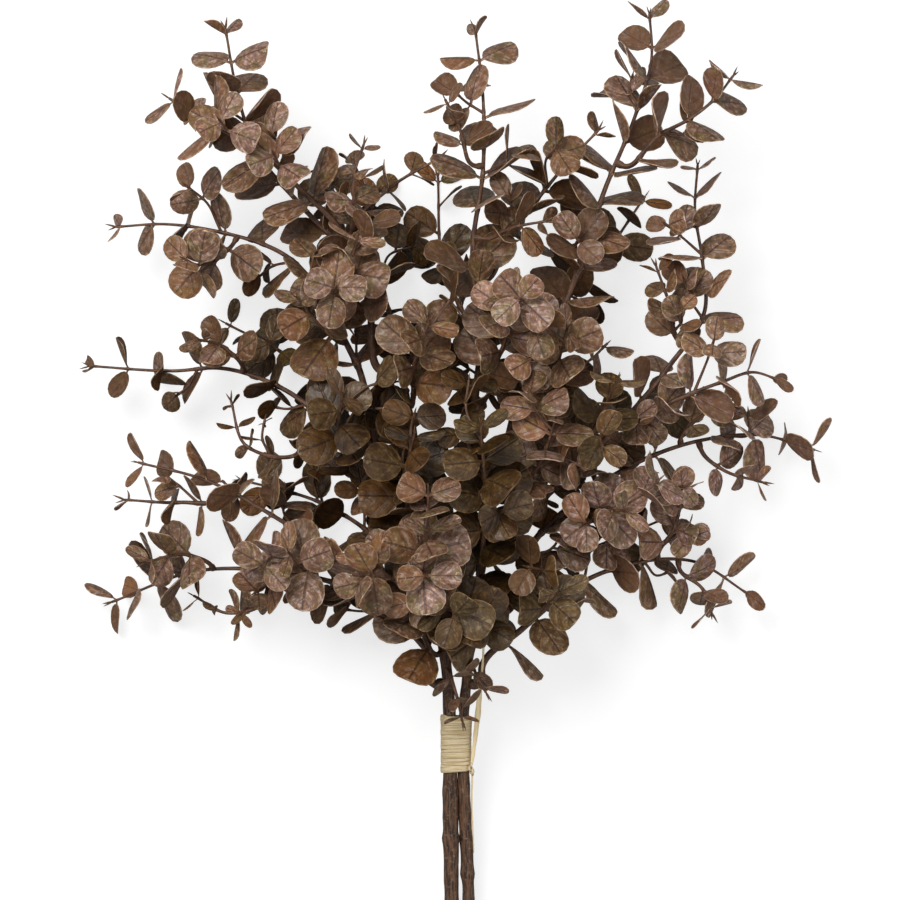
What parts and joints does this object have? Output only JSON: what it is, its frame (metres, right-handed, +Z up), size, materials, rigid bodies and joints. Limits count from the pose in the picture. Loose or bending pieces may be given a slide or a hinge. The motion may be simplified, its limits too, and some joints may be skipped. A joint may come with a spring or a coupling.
{
  "type": "bunch of dried boxwood",
  "caption": "Bunch of dried, preserved boxwood: woody stems tied with raffia under a wide, loose head of small paired leaves. Lies on its side.",
  "frame": {"origin": "middle of the bunch seen from above, on the surface that it lies on", "axes": "+Y from the cut ends to the tips of the head, +X to the right of the head seen from above, +Z up"},
  "size_m": [0.3038, 0.4042, 0.1073],
  "materials": {
    "stem_bark": "matte",
    "dried_leaf": "satin",
    "raffia": "matte"
  },
  "bodies": {
    "root": {"droop_left": "dried_leaf", "droop_right": "dried_leaf", "front_foot": "dried_leaf", "front_foot_right": "dried_leaf", "front_left": "dried_leaf", "front_left_high": "dried_leaf", "front_left_top": "dried_leaf", "front_low": "dried_leaf", "front_low_left": "dried_leaf", "front_lower_left": "dried_leaf", "front_middle": "dried_leaf", "front_right": "dried_leaf", "front_right_high": "dried_leaf", "front_right_side": "dried_leaf", "front_right_tall": "dried_leaf", "front_top": "dried_leaf", "front_top_left": "dried_leaf", "front_top_right": "dried_leaf", "left_high": "dried_leaf", "left_high_side": "dried_leaf", "left_low": "dried_leaf", "left_low_side": "dried_leaf", "left_mid": "dried_leaf", "left_mid_curl": "dried_leaf", "left_mid_side": "dried_leaf", "lower_left": "dried_leaf", "lower_left_curl": "dried_leaf", "lower_left_side": "dried_leaf", "lower_right": "dried_leaf", "lower_right_down": "dried_leaf", "lower_right_up": "dried_leaf", "raffia_knot": "raffia", "raffia_tail_down": "raffia", "raffia_tail_up": "raffia", "raffia_tie": "raffia", "right_high": "dried_leaf", "right_mid": "dried_leaf", "right_mid_down": "dried_leaf", "right_mid_up": "dried_leaf", "right_tall": "dried_leaf", "right_tall_inner": "dried_leaf", "stem_left": "stem_bark", "stem_right": "stem_bark", "top_left": "dried_leaf", "top_left_curl": "dried_leaf", "top_left_side": "dried_leaf", "top_middle": "dried_leaf", "top_middle_left": "dried_leaf", "top_middle_right": "dried_leaf", "top_right": "dried_leaf", "top_right_side": "dried_leaf", "under_left": "dried_leaf", "under_left_low": "dried_leaf", "under_right": "dried_leaf", "under_right_low": "dried_leaf", "under_top": "dried_leaf", "under_top_left": "dried_leaf", "under_top_right": "dried_leaf", "upper_left": "dried_leaf", "upper_right": "dried_leaf"}
  },
  "joints": []
}
